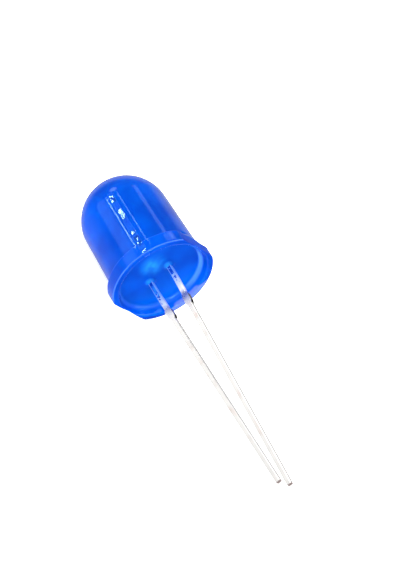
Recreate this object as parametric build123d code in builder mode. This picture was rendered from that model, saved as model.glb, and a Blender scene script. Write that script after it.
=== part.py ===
# A round-top through hole LED of the 10 mm size, lying on the flat of its flange on the cathode side.
# The lens axis runs along X, dome towards +X and leads towards -X. The lead row runs along Z, cathode below.
# The origin is the middle of the lead row, in the plane of the base's rim. All sizes are millimetres.

import os
from math import cos, radians, sin, tan

from build123d import *

os.makedirs("parts", exist_ok=True)

# Epoxy lens, with heights from the plane of the base's rim towards the dome
lens_height = 13.5
barrel_root_diameter = 9.6
barrel_root_fillet = 0.4
barrel_draft_deg = 1.3
flange_step = 0.7
flange_height = 1.5
flat_clearance = 0.025

# Dished base, where the resin drew down as it cured and climbed the leads
rim_width = 0.55
rim_round = 0.25
dish_depth = 1.1
dish_wall_run = 0.5
dish_fillet = 0.45
collar_foot_radius = 0.65
collar_height = 0.35
collar_wall = 0.03

# Leads, square wire that leans in a little below the base, with lengths from the rim's plane to the cut tip
lead_pitch = 2.54
lead_size = 0.5
lead_corner_break = 0.05
cathode_lead_length = 26.2
anode_lead_length = 27.2
cathode_tip_offset = 0.76
anode_tip_offset = -0.03
lead_bend_start = 0.5
lead_bend_radius = 20.0

# Stubs on both sides of each lead, left where the frame's dam bar was sheared off after moulding
dam_stub_start = 2.9
dam_stub_length = 1.5
dam_stub_reach = 0.12
dam_stub_ramp = 0.35

# Lead frame inside the resin: a wider shank on both legs, the anvil and the post
shank_start = 1.7
shank_width = 0.7
anvil_top = 6.0
anvil_web_start = 3.6
head_diameter = 1.4
head_height = 0.8
cup_mouth_diameter = 1.1
cup_floor_diameter = 0.75
cup_depth = 0.4
post_top = 6.3
flag_start = 4.9
flag_height = 0.9
flag_reach = 0.4

# Die, glue bead and bond wires
glue_diameter = 0.6
glue_thickness = 0.03
chip_side = 0.36
chip_height = 0.12
pad_offset = 0.1
wire_diameter = 0.04
anode_loop_rise = 1.0
cathode_loop_rise = 0.75
ball_diameter = 0.1
ball_height = 0.04

cut_overrun = 0.5

# Worked out from the sizes above
barrel_root_radius = barrel_root_diameter / 2
flange_radius = barrel_root_radius + flange_step
flat_half_across = barrel_root_radius + flat_clearance
rim_inner_radius = flange_radius - rim_width
dish_floor_radius = rim_inner_radius - dish_wall_run
draft_slope = tan(radians(barrel_draft_deg))
draft_cosine = cos(radians(barrel_draft_deg))
dome_radius = (
    (barrel_root_radius - (lens_height - flange_height) * draft_slope)
    * draft_cosine
    / (1 - draft_slope * draft_cosine)
)
dome_centre = lens_height - dome_radius
exit_offset = lead_pitch / 2
collar_tip_radius = lead_size / 2 * 2**0.5 + collar_wall
cup_floor = anvil_top - cup_depth
chip_base = cup_floor + glue_thickness
chip_top = chip_base + chip_height
cathode_bond_offset = (head_diameter / 2 + exit_offset + shank_width / 2) / 2

# across_plane is square to the lens axis, with its x towards the cathode and its normal towards the dome.
# lead_plane holds the lens axis and both leads, with its x towards the cathode and its y towards the dome.
across_plane = Plane(origin=(0, 0, 0), x_dir=(0, 0, -1), z_dir=(1, 0, 0))
lead_plane = Plane(origin=(0, 0, 0), x_dir=(0, 0, -1), z_dir=(0, -1, 0))


def lead_leg(offset, tip_offset, length):
    """The square wire of one leg, from inside the shank to its cut tip, with its dam bar stubs."""
    leg_top = shank_start + lead_size
    lean = (tip_offset - offset) / (length - lead_bend_start)
    stub_end = dam_stub_start + dam_stub_length
    stub_outline = [
        (dam_stub_start, lead_size / 2),
        (dam_stub_start + dam_stub_ramp, lead_size / 2 + dam_stub_reach),
        (stub_end - dam_stub_ramp, lead_size / 2 + dam_stub_reach),
        (stub_end, lead_size / 2),
    ]
    with BuildPart() as leg:
        with BuildLine(lead_plane) as route:
            FilletPolyline(
                (offset, leg_top),
                (offset, -lead_bend_start),
                (tip_offset, -length),
                radius=lead_bend_radius,
            )
        with BuildSketch(across_plane.offset(leg_top)) as section:
            with Locations((offset, 0)):
                Rectangle(lead_size, lead_size)
            chamfer(section.vertices(), length=lead_corner_break)
        sweep(path=route.line)
        with BuildSketch(lead_plane):
            with BuildLine():
                Polyline(
                    [
                        (offset + lean * (down - lead_bend_start) + side * reach, -down)
                        for side, points in ((1, stub_outline), (-1, reversed(stub_outline)))
                        for down, reach in points
                    ],
                    close=True,
                )
            make_face()
        extrude(amount=lead_size / 2, both=True)
    return leg.part


def bond_wire(pad, loop_rise, bond_point, bonded_to):
    """A gold wire from its ball on the die, up to its kink and down to the stitch on a leg of the lead frame."""
    with BuildPart() as wire:
        with BuildSketch(across_plane.offset(chip_top)):
            with Locations((pad, 0)):
                Circle(ball_diameter / 2)
        extrude(amount=ball_height)
        with BuildLine(lead_plane) as route:
            Polyline((pad, chip_top), (pad, chip_top + loop_rise), bond_point)
        with BuildSketch(across_plane.offset(chip_top)):
            with Locations((pad, 0)):
                Circle(wire_diameter / 2)
        sweep(path=route.line, transition=Transition.RIGHT)
        add(bonded_to, mode=Mode.SUBTRACT)
    return wire.part


# Cathode leg: the lead, its shank, the slanted web of the anvil and the head with its reflector cup
with BuildPart() as cathode_lead:
    add(lead_leg(exit_offset, cathode_tip_offset, cathode_lead_length))
    with BuildSketch(lead_plane):
        with BuildLine():
            Polyline(
                (exit_offset + shank_width / 2, shank_start),
                (exit_offset + shank_width / 2, anvil_top),
                (0, anvil_top),
                (0, anvil_top - head_height),
                (exit_offset - shank_width / 2, anvil_web_start),
                (exit_offset - shank_width / 2, shank_start),
                close=True,
            )
        make_face()
    extrude(amount=lead_size / 2, both=True)
    with BuildSketch(across_plane.offset(anvil_top)):
        Circle(head_diameter / 2)
    extrude(amount=-head_height)
    with BuildSketch(lead_plane):
        with BuildLine():
            Polyline(
                (0, cup_floor),
                (cup_floor_diameter / 2, cup_floor),
                (cup_mouth_diameter / 2, anvil_top),
                (cup_mouth_diameter / 2, anvil_top + cut_overrun),
                (0, anvil_top + cut_overrun),
                close=True,
            )
        make_face()
    revolve(axis=Axis.X, mode=Mode.SUBTRACT)

# Anode leg: the lead, its shank and the post, with a flag that keys it in the resin
with BuildPart() as anode_lead:
    add(lead_leg(-exit_offset, anode_tip_offset, anode_lead_length))
    with BuildSketch(lead_plane):
        with BuildLine():
            Polyline(
                (-exit_offset + shank_width / 2, shank_start),
                (-exit_offset + shank_width / 2, post_top),
                (-exit_offset - shank_width / 2 - flag_reach, post_top),
                (-exit_offset - shank_width / 2 - flag_reach, post_top - flag_height),
                (-exit_offset - shank_width / 2, flag_start),
                (-exit_offset - shank_width / 2, shank_start),
                close=True,
            )
        make_face()
    extrude(amount=lead_size / 2, both=True)

# Glue bead on the floor of the cup
with BuildPart() as die_attach:
    with BuildSketch(across_plane.offset(cup_floor)):
        Circle(glue_diameter / 2)
    extrude(amount=glue_thickness)

# Blue die, with both pads on top
with BuildPart() as led_chip:
    with BuildSketch(across_plane.offset(chip_base)):
        Rectangle(chip_side, chip_side)
    extrude(amount=chip_height)

# Bond wires, each run a wire's thickness into its leg and trimmed by it
with BuildPart() as anode_bond_wire:
    add(
        bond_wire(
            -pad_offset,
            anode_loop_rise,
            (-exit_offset, post_top - wire_diameter),
            anode_lead.part,
        )
    )

with BuildPart() as cathode_bond_wire:
    add(
        bond_wire(
            pad_offset,
            cathode_loop_rise,
            (cathode_bond_offset, anvil_top - wire_diameter),
            cathode_lead.part,
        )
    )

# Epoxy lens, cast round everything above: one turned form, two flats on the flange and a collar at each lead
with BuildPart() as epoxy_lens:
    with BuildSketch(lead_plane):
        with BuildLine():
            FilletPolyline(
                (0, dish_depth),
                (dish_floor_radius, dish_depth),
                (rim_inner_radius, 0),
                (flange_radius, 0),
                radius=(dish_fillet, rim_round),
            )
            Line((flange_radius, 0), (flange_radius, flange_height))
            FilletPolyline(
                (flange_radius, flange_height),
                (barrel_root_radius, flange_height),
                (
                    dome_radius * draft_cosine,
                    dome_centre + dome_radius * sin(radians(barrel_draft_deg)),
                ),
                radius=barrel_root_fillet,
            )
            CenterArc((0, dome_centre), dome_radius, barrel_draft_deg, 90 - barrel_draft_deg)
            Line((0, lens_height), (0, dish_depth))
        make_face()
    revolve(axis=Axis.X)
    flat_depth = flange_radius - flat_half_across + cut_overrun
    with BuildSketch(across_plane.offset(-cut_overrun)):
        for side in (1, -1):
            with Locations((side * (flat_half_across + flat_depth / 2), 0)):
                Rectangle(flat_depth, 2 * flange_radius)
    extrude(amount=cut_overrun + flange_height + barrel_root_fillet, mode=Mode.SUBTRACT)
    for side in (1, -1):
        with BuildSketch(lead_plane):
            with BuildLine():
                Polyline(
                    (side * exit_offset, dish_depth + cut_overrun),
                    (side * (exit_offset + collar_foot_radius), dish_depth + cut_overrun),
                    (side * (exit_offset + collar_foot_radius), dish_depth),
                    (side * (exit_offset + collar_tip_radius), dish_depth - collar_height),
                    (side * exit_offset, dish_depth - collar_height),
                    close=True,
                )
            make_face()
        revolve(axis=Axis(lead_plane.from_local_coords((side * exit_offset, 0)), lead_plane.y_dir))
    for held in (cathode_lead, anode_lead, die_attach, led_chip, anode_bond_wire, cathode_bond_wire):
        add(held.part, mode=Mode.SUBTRACT)

pieces = {
    "epoxy_lens": epoxy_lens,
    "anode_lead": anode_lead,
    "cathode_lead": cathode_lead,
    "led_chip": led_chip,
    "die_attach": die_attach,
    "anode_bond_wire": anode_bond_wire,
    "cathode_bond_wire": cathode_bond_wire,
}
for name, piece in pieces.items():
    piece.part.label = name
    export_step(piece.part, f"parts/{name}.step")
    print(name, len(piece.part.solids()), "solid", round(piece.part.volume, 4), "mm3")
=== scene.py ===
# Looks of the through hole LED: a cast blue lens, tinned leads, a white light table and the photo's camera.
import math

import bmesh
import bpy
from mathutils import Matrix, Vector


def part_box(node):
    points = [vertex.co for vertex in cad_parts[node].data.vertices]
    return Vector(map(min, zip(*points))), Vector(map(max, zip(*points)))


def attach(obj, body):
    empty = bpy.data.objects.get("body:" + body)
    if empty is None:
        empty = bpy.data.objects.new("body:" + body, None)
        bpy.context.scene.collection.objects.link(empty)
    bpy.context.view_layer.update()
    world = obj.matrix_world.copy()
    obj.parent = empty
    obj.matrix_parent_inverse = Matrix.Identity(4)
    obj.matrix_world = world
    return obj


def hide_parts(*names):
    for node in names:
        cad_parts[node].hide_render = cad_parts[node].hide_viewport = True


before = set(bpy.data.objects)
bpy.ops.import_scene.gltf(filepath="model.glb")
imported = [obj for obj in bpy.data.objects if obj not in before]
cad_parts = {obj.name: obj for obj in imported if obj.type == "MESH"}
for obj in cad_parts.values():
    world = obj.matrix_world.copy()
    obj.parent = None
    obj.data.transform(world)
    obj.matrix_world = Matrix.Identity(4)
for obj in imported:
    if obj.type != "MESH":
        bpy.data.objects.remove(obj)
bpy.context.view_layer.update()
scene = bpy.context.scene
mm = 0.001
print("frame loaded:", len(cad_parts), "nodes")


def linear(hexColour):  # sRGB hex to linear RGBA
    parts = [int(hexColour[i:i + 2], 16) / 255 for i in (1, 3, 5)]
    return tuple(c / 12.92 if c <= 0.04045 else ((c + 0.055) / 1.055) ** 2.4 for c in parts) + (1.0,)


def addNode(tree, kind, inputs=None, **settings):  # inputs are sockets to link or values to set
    node = tree.nodes.new(kind)
    for name, value in settings.items():
        setattr(node, name, value)
    for name, value in (inputs or {}).items():
        if isinstance(value, bpy.types.NodeSocket):
            tree.links.new(value, node.inputs[name])
        else:
            node.inputs[name].default_value = value
    return node


def newMaterial(name):
    material = bpy.data.materials.new(name)
    material.use_nodes = True
    tree = material.node_tree
    tree.nodes.clear()
    shader = addNode(tree, "ShaderNodeBsdfPrincipled")
    addNode(tree, "ShaderNodeOutputMaterial", {"Surface": shader.outputs["BSDF"]})
    coords = addNode(tree, "ShaderNodeTexCoord")
    return material, tree, shader, coords.outputs["Object"]


def towards(angle):  # unit vector square to the lens axis, turned from +Y towards +Z
    return 0.0, math.cos(angle), math.sin(angle)


def shares(count):  # even steps up to 1, without the start
    return [i / count for i in range(1, count + 1)]


# Lens: the resin's outside, turned from one profile, with two flats, a dished base and a climb up each lead
lensForm = {  # millimetres
    "flangeHeight": 1.5,
    "barrelRoot": 4.8,  # radius
    "rootFillet": 0.4,
    "draft": math.radians(1.3),
    "rimWidth": 0.65,
    "rimRound": 0.25,
    "lipFall": 0.05,  # how far the rim falls away from its crest to its outer edge
    "lipCurve": 1.5,  # power of that fall
    "dishDepth": 1.1,
    "dishWallRun": 0.4,
    "dishFillet": 0.45,
    "leadPitch": 2.54,
    "leadSize": 0.5,
    "leadSquareness": 4,  # power of the distance from a lead, where 2 is round and more is squarer
    "meniscusHeight": 0.35,
    "meniscusReach": 0.15,  # the climb fades by e over this distance
    "edgeRound": 0.1,
    "edgeShare": 0.25,  # of the shoulder at most, because the flats leave little of it
    "cornerSharpness": 25.0,  # how tightly the flats turn into the round, per millimetre
    "leastCosine": 0.001,  # keeps the reach to the flats finite in a direction along them
    "cornerTurns": (-0.9, -0.55, -0.25, 0.0, 0.25, 0.55, 0.9),  # degrees, sections at each corner
    "cornerClear": 1.1,  # degrees, no other section this near to a corner
    "turnSteps": 288,
    "floorSteps": 56,
    "wallSteps": 44,
    "toeSteps": 8,
    "sideSteps": 6,
    "lipSteps": 5,
    "ledgeSteps": 16,
    "barrelSteps": 16,
    "domeSteps": 40,
    "mergeDistance": 0.0005,
    "normalWeight": 75,
}


def lensProfile():
    form = lensForm
    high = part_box("epoxy_lens")[1]
    height, flangeRadius, flatReach = high.x / mm, high.y / mm, high.z / mm
    slope, tilt, fillet = math.tan(form["draft"]), math.cos(form["draft"]), form["rootFillet"]
    domeRadius = (form["barrelRoot"] - (height - form["flangeHeight"]) * slope) * tilt / (1 - slope * tilt)
    domeCentre = height - domeRadius
    filletCentre = form["barrelRoot"] + fillet * (1 / tilt - slope)
    filletEnd = math.pi / 2 - form["draft"]
    corner = math.acos(flatReach / flangeRadius)

    # Across the dish: flat floor, fillet at its edge, slanted wall, rounded crest, falling lip
    depth, foot, crest = form["dishDepth"], form["dishFillet"], form["rimRound"]
    rimInner = flangeRadius - form["rimWidth"]
    wallAngle = math.atan2(depth, form["dishWallRun"])
    floorEnd = rimInner - form["dishWallRun"] - foot * math.tan(wallAngle / 2)
    crestEnd = rimInner + crest * math.tan(wallAngle / 2)

    def dish(radius):
        if radius <= floorEnd:
            return depth
        if radius < floorEnd + foot * math.sin(wallAngle):
            return depth - foot + math.sqrt(foot ** 2 - (radius - floorEnd) ** 2)
        if radius < crestEnd - crest * math.sin(wallAngle):
            return depth * (rimInner - radius) / form["dishWallRun"]
        if radius < crestEnd:
            return crest - math.sqrt(crest ** 2 - (crestEnd - radius) ** 2)
        return form["lipFall"] * ((radius - crestEnd) / (flangeRadius - crestEnd)) ** form["lipCurve"]

    def reach(angle):  # outer radius of the flange, round or flat, with the corners between them eased
        k = form["cornerSharpness"]
        flat = flatReach / max(abs(math.cos(angle)), form["leastCosine"])
        nearer, further = min(flat, flangeRadius), max(flat, flangeRadius)
        return nearer - math.log1p(math.exp(-k * (further - nearer))) / k

    def shoulderStart(outer):  # length of the ledge, and the fillet's turn where it begins
        turn = math.asin(min(max((filletCentre - outer) / fillet, 0.0), 1.0))
        return max(outer - filletCentre, 0.0), turn

    def shoulder(outer, travel):  # along the ledge, then up the fillet, from the outer edge
        ledge, start = shoulderStart(outer)
        if travel < ledge:
            return outer - travel, form["flangeHeight"]
        turn = min(start + (travel - ledge) / fillet, filletEnd)
        return filletCentre - fillet * math.sin(turn), form["flangeHeight"] + fillet * (1 - math.cos(turn))

    def shoulderLength(outer):
        ledge, start = shoulderStart(outer)
        return ledge + fillet * (filletEnd - start)

    def easedCorner(before, corner, after, share):
        a, b = 1 - share, share
        return tuple(a * a * p + 2 * a * b * q + b * b * s for p, q, s in zip(before, corner, after))

    def profile(angle):  # (radius, height) from the middle of the dish, out and over, to the top of the dome
        outer, edge = reach(angle), form["edgeRound"]
        radii = [0.0] + [floorEnd * share for share in shares(form["floorSteps"])]
        radii += [floorEnd + (outer - edge - floorEnd) * share for share in shares(form["wallSteps"])]
        line = [(r, dish(r)) for r in radii]
        before, toe = line[-1], (outer, dish(outer))
        wallFoot = toe[1] + edge
        line += [easedCorner(before, toe, (outer, wallFoot), share) for share in shares(form["toeSteps"])]
        length = shoulderLength(outer)
        topEdge = min(edge, length * form["edgeShare"])
        lip, ledge = shoulder(outer, 0.0), shoulder(outer, topEdge)
        wallTop = lip[1] - topEdge
        line += [(outer, wallFoot + (wallTop - wallFoot) * share) for share in shares(form["sideSteps"])]
        line += [easedCorner((outer, wallTop), lip, ledge, share) for share in shares(form["lipSteps"])]
        rest = length - topEdge
        line += [shoulder(outer, topEdge + rest * share) for share in shares(form["ledgeSteps"])]
        root = Vector(line[-1])
        tangent = Vector((domeRadius * tilt, domeCentre + domeRadius * math.sin(form["draft"])))
        line += [tuple(root.lerp(tangent, share)) for share in shares(form["barrelSteps"])]
        turns = [form["draft"] + (math.pi / 2 - form["draft"]) * share for share in shares(form["domeSteps"])]
        line += [(domeRadius * math.cos(turn), domeCentre + domeRadius * math.sin(turn)) for turn in turns]
        return line

    return profile, corner


def meniscus(y, z):  # how far the resin climbs towards the lead tips at a point of the dish
    form = lensForm
    power = form["leadSquareness"]
    climb = 0.0
    for side in (1, -1):
        fromLead = (abs(y) ** power + abs(z - side * form["leadPitch"] / 2) ** power) ** (1 / power)
        away = max(fromLead - form["leadSize"] / 2, 0.0)
        climb = max(climb, form["meniscusHeight"] * math.exp(-away / form["meniscusReach"]))
    return climb


def buildLens():
    profile, corner = lensProfile()
    steps = lensForm["turnSteps"]
    angles = [2 * math.pi * i / steps for i in range(steps)]
    clear = math.radians(lensForm["cornerClear"])
    for centre in (corner, math.pi - corner, math.pi + corner, 2 * math.pi - corner):
        angles = [a for a in angles if abs(a - centre) > clear]
        angles += [centre + math.radians(turn) for turn in lensForm["cornerTurns"]]
    angles.sort()
    mesh = bmesh.new()
    rings = []
    for angle in angles:
        ring = []
        for i, (radius, height) in enumerate(profile(angle)):
            y, z = radius * math.sin(angle), -radius * math.cos(angle)
            if i <= lensForm["floorSteps"]:
                height -= meniscus(y, z)
            ring.append(mesh.verts.new((height * mm, y * mm, z * mm)))
        rings.append(ring)
    for here, there in zip(rings, rings[1:] + rings[:1]):
        for i in range(len(here) - 1):
            mesh.faces.new((here[i], here[i + 1], there[i + 1], there[i]))
    bmesh.ops.remove_doubles(mesh, verts=mesh.verts, dist=lensForm["mergeDistance"] * mm)
    bmesh.ops.recalc_face_normals(mesh, faces=mesh.faces)
    for face in mesh.faces:
        face.smooth = True
    data = bpy.data.meshes.new("castLens")
    mesh.to_mesh(data)
    mesh.free()
    lens = bpy.data.objects.new("castLens", data)
    scene.collection.objects.link(lens)
    lens.modifiers.new("weightedNormals", "WEIGHTED_NORMAL").weight = lensForm["normalWeight"]
    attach(lens, "root")
    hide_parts("epoxy_lens")
    return lens


lens = buildLens()
print("lens turned:", len(lens.data.polygons), "faces")


# Cast epoxy with blue dye and a little diffuser: deep even blue under a clear gloss, with light soaking in at
# the edges. Painted light makes the dish paler in patches, round each lead and towards its low far side, and
# the far rim paler; painted highlights draw a pale crescent along the dish wall's foot and a pale line on the
# flange's edges. One scuffed stripe along the barrel breaks its streak of light into specks, with painted
# shade round them.
epoxyLook = {
    "deep": "#003EAA",
    "bright": "#004DC0",
    "cloudSize": 4.0,  # millimetres
    "cloudEnds": (0.35, 0.65),  # of the noise, deep to bright
    "ior": 1.53,
    "gloss": 0.05,  # roughness
    "glossTint": "#86BCFF",
    "soak": 0.8,  # millimetres
    "soakShare": 0.6,
    "soakReaches": (0.2, 0.5, 1.0),  # of red, green and blue light
    "dishTop": 1.2,  # millimetres from the rim's plane, a little over the dish's floor
    "dishRadii": (5.1, 4.9),  # millimetres, outside to inside
    # painted light over the dish, in patches and round the leads
    "shine": "#2AA4FF",
    "shineAt": (1.1, 1.55, 0.4),  # millimetres
    "shineReach": 1.9,
    "shineShare": 0.62,
    "shinePatch": 0.9,
    "shinePatchEnds": (0.35, 0.65),  # of the noise, faint to full
    "shinePatchFaint": 0.45,
    "rootShineAt": (0.0, 0.15, 1.27),  # millimetres, beside one lead, the same beside the other
    "rootShineReaches": (0.6, 0.15),  # none to full
    "rootShineShare": 0.5,
    # painted highlight: a pale crescent along the foot of the dish's wall
    "crescent": "#4A88FF",
    "crescentAngle": math.radians(142),  # round the dish, from +Y towards +Z
    "crescentCosines": (0.76, 0.93),  # of the angle from its middle, at its ends and where it is full
    "crescentRadii": (4.25, 4.48, 4.56, 4.67),  # millimetres: starts, full, still full, ends
    "crescentFaint": 0.22,  # share of it all round
    # painted light towards the dish's low far side
    "through": "#005ED4",
    "throughAngle": math.radians(206),
    "throughReaches": (0.9, 3.5),  # millimetres from the axis towards that angle, none to full
    # painted light on the far rim
    "farRim": "#6079DC",
    "farRimAngle": math.radians(184.2),
    "farRimReaches": (4.45, 4.58),  # millimetres from the axis towards that angle, none to full
    "farRimHeights": (0.45, 0.3),  # millimetres, none to full
    # painted highlight: a pale line along the flange's edges
    "paleEdge": "#3C68E8",
    "paleEdgeRadii": (5.4, 5.46),  # millimetres, none to full
    "paleRimHeights": (0.18, 0.1),
    "paleTopHeights": (1.38, 1.46),
    "paleTopShare": 0.35,
    "scuffAngle": math.radians(17.8),  # round the barrel, from +Y towards +Z
    "scuffHalfWidths": (math.radians(3.9), math.radians(2.6)),  # none to full
    "scuffSize": 0.34,  # millimetres, coarser than the real scratches, which are too fine to show
    "scuffDepth": 0.03,
    "scuffDull": 0.85,  # roughness
    "scuffEnds": (1.1, 1.06),  # of the noise and the glossy share together, glossy to dull
    # painted shade round the scuffed stripe's glossy specks
    "paintedSpeckShade": "#001E60",
    "scuffSpan": 10.0,  # millimetres of the barrel from the base, for the stretches below
    "scuffTop": 9.4,
    "stretchEase": 0.1,
    "glossyStretches": (  # start, end, glossy share
        (0.15, 0.65, 0.77), (1.1, 1.6, 0.57), (1.8, 2.2, 0.57), (2.4, 3.0, 0.56), (3.3, 3.75, 0.61),
        (5.6, 7.0, 0.77), (8.05, 9.05, 0.55)),
}


def lensPlaces(tree, place):  # where a point is on the lens, for the functions below
    split = addNode(tree, "ShaderNodeSeparateXYZ", {"Vector": place})
    radial = addNode(tree, "ShaderNodeCombineXYZ", {"Y": split.outputs["Y"], "Z": split.outputs["Z"]})
    outward = addNode(tree, "ShaderNodeVectorMath", {0: radial.outputs["Vector"]}, operation="NORMALIZE")
    fromAxis = addNode(tree, "ShaderNodeVectorMath", {0: radial.outputs["Vector"]}, operation="LENGTH")
    below = addNode(tree, "ShaderNodeMath", {
        0: split.outputs["X"], 1: epoxyLook["dishTop"] * mm}, operation="LESS_THAN")
    outside, inside = epoxyLook["dishRadii"]
    within = addNode(tree, "ShaderNodeMapRange", {
        "Value": fromAxis.outputs["Value"], "From Min": outside * mm, "From Max": inside * mm})
    inDish = addNode(tree, "ShaderNodeMath", {
        0: within.outputs["Result"], 1: below.outputs[0]}, operation="MULTIPLY")
    return {
        "place": place,
        "x": split.outputs["X"],
        "y": split.outputs["Y"],
        "z": split.outputs["Z"],
        "outward": outward.outputs["Vector"],
        "fromAxis": fromAxis.outputs["Value"],
        "belowFloor": below.outputs[0],
        "inDish": inDish.outputs[0],
    }


def paintedLeadGlow(tree, at):  # share of painted light, as if from the lead frame, in patches and round each lead's root
    look = epoxyLook
    away = addNode(tree, "ShaderNodeVectorMath", {
        0: at["place"], 1: Vector(look["shineAt"]) * mm}, operation="DISTANCE")
    shine = addNode(tree, "ShaderNodeMapRange", {
        "Value": away.outputs["Value"], "From Min": look["shineReach"] * mm, "From Max": 0.0,
        "To Max": look["shineShare"]}, interpolation_type="SMOOTHSTEP")
    patches = addNode(tree, "ShaderNodeTexNoise", {
        "Vector": at["place"], "Scale": 1 / (look["shinePatch"] * mm), "Detail": 1.0, "Roughness": 0.5})
    faint, full = look["shinePatchEnds"]
    broken = addNode(tree, "ShaderNodeMapRange", {
        "Value": patches.outputs["Fac"], "From Min": faint, "From Max": full,
        "To Min": look["shinePatchFaint"]})
    patchy = addNode(tree, "ShaderNodeMath", {
        0: shine.outputs["Result"], 1: broken.outputs["Result"]}, operation="MULTIPLY")
    eitherSide = addNode(tree, "ShaderNodeMath", {0: at["z"]}, operation="ABSOLUTE")
    folded = addNode(tree, "ShaderNodeCombineXYZ", {"Y": at["y"], "Z": eitherSide.outputs[0]})
    fromRoot = addNode(tree, "ShaderNodeVectorMath", {
        0: folded.outputs["Vector"], 1: Vector(look["rootShineAt"]) * mm}, operation="DISTANCE")
    none, full = look["rootShineReaches"]
    rootShine = addNode(tree, "ShaderNodeMapRange", {
        "Value": fromRoot.outputs["Value"], "From Min": none * mm, "From Max": full * mm,
        "To Max": look["rootShineShare"]}, interpolation_type="SMOOTHSTEP")
    roots = addNode(tree, "ShaderNodeMath", {
        0: rootShine.outputs["Result"], 1: at["belowFloor"]}, operation="MULTIPLY")
    return addNode(tree, "ShaderNodeMath", {
        0: patchy.outputs[0], 1: roots.outputs[0]}, operation="MAXIMUM").outputs[0]


def paintedDishCrescent(tree, at):  # share of a painted highlight along the foot of the dish's wall
    look = epoxyLook
    starts, full, stillFull, ends = look["crescentRadii"]
    inner, outer = (
        addNode(tree, "ShaderNodeMapRange", {
            "Value": at["fromAxis"], "From Min": none * mm, "From Max": whole * mm},
            interpolation_type="SMOOTHSTEP").outputs["Result"]
        for none, whole in ((starts, full), (ends, stillFull)))
    ring = addNode(tree, "ShaderNodeMath", {0: inner, 1: outer}, operation="MULTIPLY")
    turned = addNode(tree, "ShaderNodeVectorMath", {
        0: at["outward"], 1: towards(look["crescentAngle"])}, operation="DOT_PRODUCT")
    end, middle = look["crescentCosines"]
    lit = addNode(tree, "ShaderNodeMapRange", {
        "Value": turned.outputs["Value"], "From Min": end, "From Max": middle,
        "To Min": look["crescentFaint"]}, interpolation_type="SMOOTHSTEP")
    arc = addNode(tree, "ShaderNodeMath", {
        0: ring.outputs[0], 1: lit.outputs["Result"]}, operation="MULTIPLY")
    return addNode(tree, "ShaderNodeMath", {
        0: arc.outputs[0], 1: at["belowFloor"]}, operation="MULTIPLY").outputs[0]


def paintedLowLight(tree, at):  # share of painted light, as if up through the resin, on the low far side of the dish
    away = addNode(tree, "ShaderNodeVectorMath", {
        0: at["place"], 1: towards(epoxyLook["throughAngle"])}, operation="DOT_PRODUCT")
    none, full = epoxyLook["throughReaches"]
    out = addNode(tree, "ShaderNodeMapRange", {
        "Value": away.outputs["Value"], "From Min": none * mm, "From Max": full * mm})
    return addNode(tree, "ShaderNodeMath", {
        0: out.outputs["Result"], 1: at["inDish"]}, operation="MULTIPLY").outputs[0]


def paintedFarRimLight(tree, at):  # share of painted light, as if through the thin rim, on the far side
    away = addNode(tree, "ShaderNodeVectorMath", {
        0: at["place"], 1: towards(epoxyLook["farRimAngle"])}, operation="DOT_PRODUCT")
    none, full = epoxyLook["farRimReaches"]
    out = addNode(tree, "ShaderNodeMapRange", {
        "Value": away.outputs["Value"], "From Min": none * mm, "From Max": full * mm},
        interpolation_type="SMOOTHSTEP")
    none, full = epoxyLook["farRimHeights"]
    atBase = addNode(tree, "ShaderNodeMapRange", {
        "Value": at["x"], "From Min": none * mm, "From Max": full * mm})
    return addNode(tree, "ShaderNodeMath", {
        0: out.outputs["Result"], 1: atBase.outputs["Result"]}, operation="MULTIPLY").outputs[0]


def paintedEdgeHighlight(tree, at):  # share of the painted highlight line along the flange's edges, fainter at the top
    look = epoxyLook
    none, full = look["paleEdgeRadii"]
    atEdge = addNode(tree, "ShaderNodeMapRange", {
        "Value": at["fromAxis"], "From Min": none * mm, "From Max": full * mm})
    lines = ((look["paleRimHeights"], 1.0), (look["paleTopHeights"], look["paleTopShare"]))
    atRim, atTop = (
        addNode(tree, "ShaderNodeMapRange", {
            "Value": at["x"], "From Min": none * mm, "From Max": full * mm, "To Max": most}).outputs["Result"]
        for (none, full), most in lines)
    either = addNode(tree, "ShaderNodeMath", {0: atRim, 1: atTop}, operation="MAXIMUM")
    return addNode(tree, "ShaderNodeMath", {
        0: either.outputs[0], 1: atEdge.outputs["Result"]}, operation="MULTIPLY").outputs[0]


def scuffStripe(tree, at):  # share of the stripe, by the angle round the outside of the lens
    look = epoxyLook
    nearness = addNode(tree, "ShaderNodeVectorMath", {
        0: at["outward"], 1: towards(look["scuffAngle"])}, operation="DOT_PRODUCT")
    none, full = look["scuffHalfWidths"]
    lengthwise = addNode(tree, "ShaderNodeMapRange", {
        "Value": nearness.outputs["Value"], "From Min": math.cos(none), "From Max": math.cos(full)},
        interpolation_type="SMOOTHSTEP")
    belowTop = addNode(tree, "ShaderNodeMath", {0: at["x"], 1: look["scuffTop"] * mm}, operation="LESS_THAN")
    onBarrel = addNode(tree, "ShaderNodeMath", {
        0: lengthwise.outputs["Result"], 1: belowTop.outputs[0]}, operation="MULTIPLY")
    return addNode(tree, "ShaderNodeMath", {
        0: onBarrel.outputs[0], 1: at["inDish"]}, operation="SUBTRACT", use_clamp=True).outputs[0]


def glossyShare(tree, at):  # along the stripe, glossy stretches lie between dull ones
    look = epoxyLook
    along = addNode(tree, "ShaderNodeMapRange", {"Value": at["x"], "From Max": look["scuffSpan"] * mm})
    stretches = addNode(tree, "ShaderNodeValToRGB", {"Fac": along.outputs["Result"]})
    stops, ease = stretches.color_ramp.elements, look["stretchEase"]
    stops[0].color = stops[1].color = (0, 0, 0, 1)
    for start, end, share in look["glossyStretches"]:
        for place, level in ((start - ease, 0), (start + ease, share), (end - ease, share), (end + ease, 0)):
            stops.new(place / look["scuffSpan"]).color = (level, level, level, 1)
    return stretches.outputs["Color"]


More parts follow.
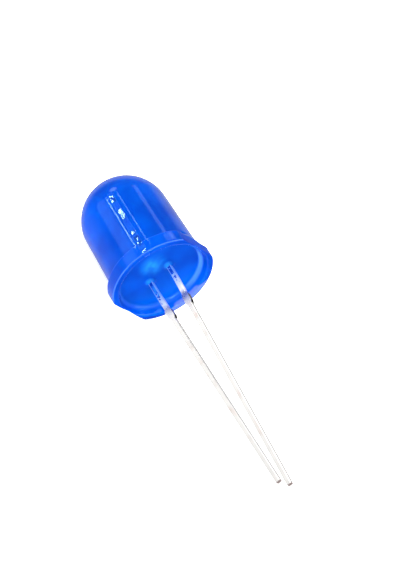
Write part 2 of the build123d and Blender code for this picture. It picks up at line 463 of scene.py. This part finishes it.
def scuff(tree, shader, at):  # dulls and dents the stripe, and gives the share of painted shade round its glossy specks
    look = epoxyLook
    stripe, glossy = scuffStripe(tree, at), glossyShare(tree, at)
    grit = addNode(tree, "ShaderNodeTexNoise", {
        "Vector": at["place"], "Scale": 1 / (look["scuffSize"] * mm), "Detail": 2.0, "Roughness": 0.55})
    chance = addNode(tree, "ShaderNodeMath", {0: glossy, 1: grit.outputs["Fac"]}, operation="ADD")
    shiny, dull = look["scuffEnds"]
    rubbed = addNode(tree, "ShaderNodeMapRange", {
        "Value": chance.outputs[0], "From Min": shiny, "From Max": dull}, interpolation_type="SMOOTHSTEP")
    dulled = addNode(tree, "ShaderNodeMath", {0: rubbed.outputs["Result"], 1: stripe}, operation="MULTIPLY")
    roughness = addNode(tree, "ShaderNodeMapRange", {
        "Value": dulled.outputs[0], "To Min": look["gloss"], "To Max": look["scuffDull"]})
    tree.links.new(roughness.outputs["Result"], shader.inputs["Roughness"])
    dents = addNode(tree, "ShaderNodeMath", {0: grit.outputs["Fac"], 1: stripe}, operation="MULTIPLY")
    bump = addNode(tree, "ShaderNodeBump", {
        "Height": dents.outputs[0], "Strength": 1.0, "Distance": look["scuffDepth"] * mm})
    tree.links.new(bump.outputs["Normal"], shader.inputs["Normal"])
    return addNode(tree, "ShaderNodeMath", {0: glossy, 1: dulled.outputs[0]}, operation="MULTIPLY").outputs[0]


def castEpoxy():
    look = epoxyLook
    material, tree, shader, place = newMaterial("castBlueEpoxy")
    at = lensPlaces(tree, place)
    cloud = addNode(tree, "ShaderNodeTexNoise", {
        "Vector": place, "Scale": 1 / (look["cloudSize"] * mm), "Detail": 2.0, "Roughness": 0.5})
    dye = addNode(tree, "ShaderNodeValToRGB", {"Fac": cloud.outputs["Fac"]})
    for stop, position, tint in zip(dye.color_ramp.elements, look["cloudEnds"], ("deep", "bright")):
        stop.position, stop.color = position, linear(look[tint])
    # tints laid over the dye, each by its share: painted light, painted highlights and painted shade
    layers = (
        (paintedLowLight(tree, at), "through"),
        (paintedLeadGlow(tree, at), "shine"),
        (paintedDishCrescent(tree, at), "crescent"),
        (paintedFarRimLight(tree, at), "farRim"),
        (paintedEdgeHighlight(tree, at), "paleEdge"),
        (scuff(tree, shader, at), "paintedSpeckShade"),
    )
    colour = dye.outputs["Color"]
    for share, tint in layers:
        colour = addNode(tree, "ShaderNodeMix", {
            0: share, 6: colour, 7: linear(look[tint])}, data_type="RGBA").outputs[2]
    tree.links.new(colour, shader.inputs["Base Color"])
    shader.inputs["IOR"].default_value = look["ior"]
    shader.inputs["Specular Tint"].default_value = linear(look["glossTint"])
    shader.inputs["Subsurface Weight"].default_value = look["soakShare"]
    shader.inputs["Subsurface Radius"].default_value = look["soakReaches"]
    shader.inputs["Subsurface Scale"].default_value = look["soak"] * mm
    return material


lens.data.materials.append(castEpoxy())
print("lens material ready")


# Tinned steel, stamped: bright rolled faces, sheared sides a little duller, faint pink stains in the plate.
# By the base the leads are hazed under a patchy film of resin, and a painted reflection of the blue lens
# tinges them, most of all the cathode lead.
# The steel is bare and dark where the dam bar was cut off, and grey at the cut tips.
leadLook = {
    "tin": "#F4F3F1",
    "dullTin": "#E2DFDD",
    "mottleSize": 0.6,  # millimetres
    "mottleEnds": (0.3, 0.7),  # of the noise, for the roughnesses
    "roughnesses": (0.16, 0.24),
    "dimpleDepth": 0.004,  # millimetres
    "stain": "#DCCAC3",
    "stainSize": 2.2,  # millimetres
    "stainEnds": (0.55, 0.72),  # of the noise, none to full
    "stainShare": 0.5,
    "sheared": "#E6E2E0",
    "shearedFacings": (0.5, 0.95),  # how far a face turns along Z, none to full
    "bareSteel": "#8C7F7C",
    "tipFacing": -0.9,  # how far a face turns along X at the tips
    "darkSteel": "#4C4543",
    "stubEnds": (-2.95, -4.4),  # millimetres along the lead
    "stubFacing": 0.8,
    # painted reflection of the blue lens, by the base
    "tinge": "#78A8F2",
    "tingeEnds": (0.0, -2.3),  # millimetres along the lead, full to none
    "hazeEnds": (-2.4, -3.1),
    "hazedMetal": 0.25,  # metallic
    "resin": "#0842B0",
    "thinResin": "#2C90FF",
    "thinEnds": (0.5, 0.66),  # of the noise, thick to thin
    "filmPatch": 0.28,  # millimetres
    "filmEnds": (0.6, -2.4),  # millimetres along the lead
    "filmLevels": (0.22, -0.28),  # added to the patches' noise at those ends
    "filmEdges": (0.48, 0.56),  # of that sum, none to full
    "filmSides": (0.21, 0.13),  # millimetres from the middle of a lead's face, none to full
    "cathodeLag": 0.9,  # millimetres that the film and the tinge reach further on the cathode lead
}


def cutSteel(tree, place):  # shares of the sheared sides, the dam bar stubs and the cut tips
    look = leadLook
    normal = addNode(tree, "ShaderNodeNewGeometry").outputs["Normal"]
    face = addNode(tree, "ShaderNodeSeparateXYZ", {"Vector": normal})
    side = addNode(tree, "ShaderNodeMath", {0: face.outputs["Z"]}, operation="ABSOLUTE")
    none, full = look["shearedFacings"]
    sheared = addNode(tree, "ShaderNodeMapRange", {
        "Value": side.outputs[0], "From Min": none, "From Max": full})
    down = addNode(tree, "ShaderNodeSeparateXYZ", {"Vector": place})
    top, bottom = look["stubEnds"]
    onStub = addNode(tree, "ShaderNodeMath", {
        0: down.outputs["X"], 1: (top + bottom) / 2 * mm, 2: (top - bottom) / 2 * mm}, operation="COMPARE")
    onSide = addNode(tree, "ShaderNodeMath", {
        0: side.outputs[0], 1: look["stubFacing"]}, operation="GREATER_THAN")
    stub = addNode(tree, "ShaderNodeMath", {0: onStub.outputs[0], 1: onSide.outputs[0]}, operation="MULTIPLY")
    tip = addNode(tree, "ShaderNodeMath", {0: face.outputs["X"], 1: look["tipFacing"]}, operation="LESS_THAN")
    return sheared.outputs["Result"], stub.outputs[0], tip.outputs[0]


def resinFilmAndPaintedTinge(tree, place):  # shares of the haze, the tinge of painted reflection and the film, which is patchy down the lead
    look = leadLook
    down = addNode(tree, "ShaderNodeSeparateXYZ", {"Vector": place})
    onCathode = addNode(tree, "ShaderNodeMath", {0: down.outputs["Z"], 1: 0.0}, operation="LESS_THAN")
    lagged = addNode(tree, "ShaderNodeMath", {
        0: onCathode.outputs[0], 1: look["cathodeLag"] * mm, 2: down.outputs["X"]}, operation="MULTIPLY_ADD")
    veils = ((down.outputs["X"], look["hazeEnds"]), (lagged.outputs[0], look["tingeEnds"]))
    haze, tinge = (
        addNode(tree, "ShaderNodeMapRange", {
            "Value": along, "From Min": none * mm, "From Max": full * mm}).outputs["Result"]
        for along, (full, none) in veils)
    (start, end), (startLevel, endLevel) = look["filmEnds"], look["filmLevels"]
    fade = addNode(tree, "ShaderNodeMapRange", {
        "Value": lagged.outputs[0], "From Min": end * mm, "From Max": start * mm,
        "To Min": endLevel, "To Max": startLevel})
    patches = addNode(tree, "ShaderNodeTexNoise", {
        "Vector": place, "Scale": 1 / (look["filmPatch"] * mm), "Detail": 1.0, "Roughness": 0.5})
    wetness = addNode(tree, "ShaderNodeMath", {
        0: patches.outputs["Fac"], 1: fade.outputs["Result"]}, operation="ADD")
    none, full = look["filmEdges"]
    wet = addNode(tree, "ShaderNodeMapRange", {
        "Value": wetness.outputs[0], "From Min": none, "From Max": full}, interpolation_type="SMOOTHSTEP")
    eitherLead = addNode(tree, "ShaderNodeMath", {0: down.outputs["Z"]}, operation="ABSOLUTE")
    offMiddle = addNode(tree, "ShaderNodeMath", {
        0: eitherLead.outputs[0], 1: lensForm["leadPitch"] / 2 * mm}, operation="SUBTRACT")
    fromMiddle = addNode(tree, "ShaderNodeMath", {0: offMiddle.outputs[0]}, operation="ABSOLUTE")
    none, full = look["filmSides"]
    midFace = addNode(tree, "ShaderNodeMapRange", {
        "Value": fromMiddle.outputs[0], "From Min": none * mm, "From Max": full * mm})
    film = addNode(tree, "ShaderNodeMath", {
        0: wet.outputs["Result"], 1: midFace.outputs["Result"]}, operation="MULTIPLY")
    return haze, tinge, film.outputs[0]


def tinnedSteel():
    look = leadLook
    material, tree, shader, place = newMaterial("brightTinnedSteel")
    mottle = addNode(tree, "ShaderNodeTexNoise", {
        "Vector": place, "Scale": 1 / (look["mottleSize"] * mm), "Detail": 3.0, "Roughness": 0.6})
    plate = addNode(tree, "ShaderNodeValToRGB", {"Fac": mottle.outputs["Fac"]})
    for stop, tint in zip(plate.color_ramp.elements, ("dullTin", "tin")):
        stop.color = linear(look[tint])
    blotch = addNode(tree, "ShaderNodeTexNoise", {
        "Vector": place, "Scale": 1 / (look["stainSize"] * mm), "Detail": 2.0, "Roughness": 0.6})
    none, full = look["stainEnds"]
    stained = addNode(tree, "ShaderNodeMapRange", {
        "Value": blotch.outputs["Fac"], "From Min": none, "From Max": full, "To Max": look["stainShare"]})
    sheared, stub, tip = cutSteel(tree, place)
    haze, tinge, film = resinFilmAndPaintedTinge(tree, place)
    thick, thin = look["thinEnds"]
    thinness = addNode(tree, "ShaderNodeMapRange", {
        "Value": mottle.outputs["Fac"], "From Min": thick, "From Max": thin})
    resin = addNode(tree, "ShaderNodeMix", {
        0: thinness.outputs["Result"], 6: linear(look["resin"]), 7: linear(look["thinResin"])},
        data_type="RGBA")
    layers = (
        (stained.outputs["Result"], linear(look["stain"])),
        (sheared, linear(look["sheared"])),
        # painted reflection of the blue lens
        (tinge, linear(look["tinge"])),
        (film, resin.outputs[2]),
        (stub, linear(look["darkSteel"])),
        (tip, linear(look["bareSteel"])),
    )
    colour = plate.outputs["Color"]
    for share, tint in layers:
        colour = addNode(tree, "ShaderNodeMix", {0: share, 6: colour, 7: tint}, data_type="RGBA").outputs[2]
    tree.links.new(colour, shader.inputs["Base Color"])
    (low, high), (smoother, rougher) = look["mottleEnds"], look["roughnesses"]
    roughness = addNode(tree, "ShaderNodeMapRange", {
        "Value": mottle.outputs["Fac"], "From Min": low, "From Max": high,
        "To Min": smoother, "To Max": rougher})
    tree.links.new(roughness.outputs["Result"], shader.inputs["Roughness"])
    dimple = addNode(tree, "ShaderNodeBump", {
        "Height": mottle.outputs["Fac"], "Strength": 1.0, "Distance": look["dimpleDepth"] * mm})
    tree.links.new(dimple.outputs["Normal"], shader.inputs["Normal"])
    veil = addNode(tree, "ShaderNodeMath", {0: haze, 1: film}, operation="MAXIMUM")
    dulled = addNode(tree, "ShaderNodeMath", {0: veil.outputs[0], 1: tip}, operation="MAXIMUM")
    metal = addNode(tree, "ShaderNodeMapRange", {
        "Value": dulled.outputs[0], "To Min": 1.0, "To Max": look["hazedMetal"]})
    tree.links.new(metal.outputs["Result"], shader.inputs["Metallic"])
    return material


# The sealed pieces inside: drawn gold wire, a polished sapphire die and its cured glue bead
innerLook = {  # grains in millimetres, none drawn coarser, because these pieces never show
    "goldWire": {"tints": ("#D9A441", "#EFC468"), "grain": 0.02, "metallic": 1.0, "roughness": 0.25,
                 "nodes": ("anode_bond_wire", "cathode_bond_wire")},
    "polishedSapphire": {"tints": ("#9FBFDC", "#C4DAEC"), "grain": 0.08, "metallic": 0.0, "roughness": 0.1,
                         "nodes": ("led_chip",)},
    "curedGlue": {"tints": ("#CFCFC8", "#E2E2DC"), "grain": 0.05, "metallic": 0.0, "roughness": 0.55,
                  "nodes": ("die_attach",)},
}


def innerMaterial(name, look):
    material, tree, shader, place = newMaterial(name)
    grain = addNode(tree, "ShaderNodeTexNoise", {
        "Vector": place, "Scale": 1 / (look["grain"] * mm), "Detail": 2.0, "Roughness": 0.5})
    darker, paler = (linear(tint) for tint in look["tints"])
    tint = addNode(tree, "ShaderNodeMix", {0: grain.outputs["Fac"], 6: darker, 7: paler}, data_type="RGBA")
    tree.links.new(tint.outputs[2], shader.inputs["Base Color"])
    shader.inputs["Metallic"].default_value = look["metallic"]
    shader.inputs["Roughness"].default_value = look["roughness"]
    return material


def dress(nodeName, material):
    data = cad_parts[nodeName].data
    data.materials.clear()
    data.materials.append(material)


tin = tinnedSteel()
for nodeName in ("anode_lead", "cathode_lead"):
    dress(nodeName, tin)
for name, look in innerLook.items():
    inner = innerMaterial(name, look)
    for nodeName in look["nodes"]:
        dress(nodeName, inner)
print("leads tinned, inner pieces dressed")


# Light table: matt white acrylic, lit from below, so that shadows on it stay pale
tableLook = {
    "width": 3.0,  # metres
    "tints": ("#F2F2F2", "#F8F8F8"),
    "grain": 0.8,  # millimetres, coarser than the real texture, which is too fine to show
    "roughness": 0.9,
    "glow": 0.85,
}


def buildTable():
    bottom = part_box("epoxy_lens")[0].z
    half = tableLook["width"] / 2
    corners = [(-half, -half, bottom), (half, -half, bottom), (half, half, bottom), (-half, half, bottom)]
    data = bpy.data.meshes.new("lightTable")
    data.from_pydata(corners, [], [(0, 1, 2, 3)])
    table = bpy.data.objects.new("lightTable", data)
    scene.collection.objects.link(table)
    material, tree, shader, place = newMaterial("mattWhiteAcrylic")
    grain = addNode(tree, "ShaderNodeTexNoise", {
        "Vector": place, "Scale": 1 / (tableLook["grain"] * mm), "Detail": 2.0})
    darker, paler = (linear(tint) for tint in tableLook["tints"])
    tint = addNode(tree, "ShaderNodeMix", {0: grain.outputs["Fac"], 6: darker, 7: paler}, data_type="RGBA")
    tree.links.new(tint.outputs[2], shader.inputs["Base Color"])
    shader.inputs["Roughness"].default_value = tableLook["roughness"]
    shader.inputs["Specular IOR Level"].default_value = 0.0
    shader.inputs["Emission Color"].default_value = linear("#FFFFFF")
    shader.inputs["Emission Strength"].default_value = tableLook["glow"]
    data.materials.append(material)
    table.visible_glossy = False  # the room's bright parts stand for it in the gloss


buildTable()

# Flag: a blue card just over the upper flat, seen only in the gloss, keeps the white backdrop out of it
flag = {"xSpan": (0.5, 3.2), "ySpan": (-5.4, 1.6), "z": 5.43}  # millimetres


def placeFlag():
    (left, right), (far, near) = flag["xSpan"], flag["ySpan"]
    corners = [(left, far), (right, far), (right, near), (left, near)]
    data = bpy.data.meshes.new("flagCard")
    data.from_pydata([(x * mm, y * mm, flag["z"] * mm) for x, y in corners], [], [(0, 1, 2, 3)])
    data.materials.append(lens.data.materials[0])
    card = bpy.data.objects.new("flagCard", data)
    scene.collection.objects.link(card)
    card.visible_camera = card.visible_diffuse = card.visible_shadow = card.visible_transmission = False


placeFlag()
print("table and flag placed")

# Studio light: a wide softbox overhead, a fill beside the camera, strip lights that draw the streaks along
# the barrel, and a dim room with white surfaces in some directions
studio = {
    "room": 0.13,  # brightness
    "under": 0.5,  # brightness straight below, where the table is
    "underSlopes": (-0.45, -0.75),  # height of a direction where that starts and where it is full
    "whites": {  # direction, cosines from its edge to its full brightness, level
        "backdrop": ((0.578, -0.778, -0.248), (0.45, 0.75), 0.6),
        "backdropFoot": ((0.05, -0.92, -0.37), (0.88, 0.97), 1.1),
        "beyondDome": ((0.6, 0.77, -0.23), (0.965, 0.99), 1.3),
        "besideLeads": ((-1.0, 0.0, -0.05), (0.86, 0.95), 0.7),
        "capGlow": ((0.84, 0.45, 0.30), (0.988, 0.9995), 3.5),
    },
    "softboxHeight": 0.7,  # metres and watts from here on
    "softboxSize": 0.9,
    "softboxPower": 8.3,
    "fillToward": Vector((-0.8, 0.5, 0.33)),
    "fillDistance": 0.6,
    "fillSize": 0.3,
    "fillPower": 3.0,
    "strips": {  # direction from the lens, long side and short side in metres, power
        "mainStrip": ((0.643, 0.735, 0.23), 0.045, 0.02, 0.25),
        "leftLine": ((0.645, 0.76, 0.05), 0.042, 0.006, 0.018),
        "rightLine": ((0.645, 0.62, 0.44), 0.045, 0.007, 0.008),
        "softStrip": ((0.64, 0.06, 0.767), 0.05, 0.035, 0.008),
        "flangeStrip": ((0.579, 0.177, 0.795), 0.012, 0.066, 0.0036),
    },
    "stripDistance": 0.25,
}


def lightRoom():
    world = bpy.data.worlds.new("studioRoom")
    scene.world = world
    world.use_nodes = True
    tree = world.node_tree
    tree.nodes.clear()
    toward = addNode(tree, "ShaderNodeTexCoord").outputs["Generated"]
    slope = addNode(tree, "ShaderNodeSeparateXYZ", {"Vector": toward})
    shallow, steep = studio["underSlopes"]
    under = addNode(tree, "ShaderNodeMapRange", {
        "Value": slope.outputs["Z"], "From Min": shallow, "From Max": steep,
        "To Min": studio["room"], "To Max": studio["under"]}, interpolation_type="SMOOTHSTEP")
    level = under.outputs["Result"]
    for direction, cosines, brightness in studio["whites"].values():
        facing = addNode(tree, "ShaderNodeVectorMath", {
            0: toward, 1: Vector(direction).normalized()}, operation="DOT_PRODUCT")
        white = addNode(tree, "ShaderNodeMapRange", {
            "Value": facing.outputs["Value"], "From Min": cosines[0], "From Max": cosines[1],
            "To Max": brightness}, interpolation_type="SMOOTHSTEP")
        level = addNode(tree, "ShaderNodeMath", {
            0: level, 1: white.outputs["Result"]}, operation="MAXIMUM").outputs[0]
    seen = addNode(tree, "ShaderNodeLightPath").outputs["Is Camera Ray"]  # beyond the table all is white
    level = addNode(tree, "ShaderNodeMath", {0: level, 1: seen}, operation="MAXIMUM").outputs[0]
    glow = addNode(tree, "ShaderNodeBackground", {"Color": linear("#FFFFFF"), "Strength": level})
    addNode(tree, "ShaderNodeOutputWorld", {"Surface": glow.outputs["Background"]})


def hangLights():
    low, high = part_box("epoxy_lens")
    middle = (Vector(low) + Vector(high)) / 2

    def areaLight(name, place, longAxis, width, height, power):
        lamp = bpy.data.lights.new(name, "AREA")
        lamp.shape = "RECTANGLE"
        lamp.size, lamp.size_y, lamp.energy = width, height, power
        back = (place - middle).normalized()
        long = (longAxis - back * longAxis.dot(back)).normalized()
        turn = Matrix((long, back.cross(long), back)).transposed().to_4x4()
        light = bpy.data.objects.new(name, lamp)
        light.matrix_world = Matrix.Translation(place) @ turn
        scene.collection.objects.link(light)

    areaLight("softbox", middle + Vector((0, 0, studio["softboxHeight"])), Vector((1, 0, 0)),
              studio["softboxSize"], studio["softboxSize"], studio["softboxPower"])
    areaLight("fill", middle + studio["fillToward"].normalized() * studio["fillDistance"], Vector((1, 0, 0)),
              studio["fillSize"], studio["fillSize"], studio["fillPower"])
    for name, (direction, length, width, power) in studio["strips"].items():
        place = middle + Vector(direction).normalized() * studio["stripDistance"]
        areaLight(name, place, Vector((-1, 0, 0)), length, width, power)


lightRoom()
hangLights()
print("studio lit")

# Camera: the photo's own view, low over the lens and turned on its axis
cameraSet = {
    "aim": Vector((-4.093, 0.940, 3.245)) * mm,
    "distance": 214.2 * mm,
    "azimuth": math.radians(126.594),  # of the camera, from +X towards +Y
    "elevation": math.radians(14.330),
    "roll": math.radians(47.320),
    "focalLength": 198.0,
    "sensorWidth": 36.0,
    "clip": (0.01, 10.0),  # metres
}


def placeCamera():
    around, above = cameraSet["azimuth"], cameraSet["elevation"]
    back = Vector((math.cos(around) * math.cos(above), math.sin(around) * math.cos(above), math.sin(above)))
    lensData = bpy.data.cameras.new("photoCamera")
    lensData.sensor_fit = "HORIZONTAL"
    lensData.sensor_width = cameraSet["sensorWidth"]
    lensData.lens = cameraSet["focalLength"]
    lensData.clip_start, lensData.clip_end = cameraSet["clip"]
    camera = bpy.data.objects.new("photoCamera", lensData)
    turn = (-back).to_track_quat("-Z", "Y").to_matrix() @ Matrix.Rotation(cameraSet["roll"], 3, "Z")
    camera.matrix_world = Matrix.Translation(cameraSet["aim"] + back * cameraSet["distance"]) @ turn.to_4x4()
    scene.collection.objects.link(camera)
    scene.camera = camera


placeCamera()
scene.view_settings.view_transform = "Standard"
print("camera placed")
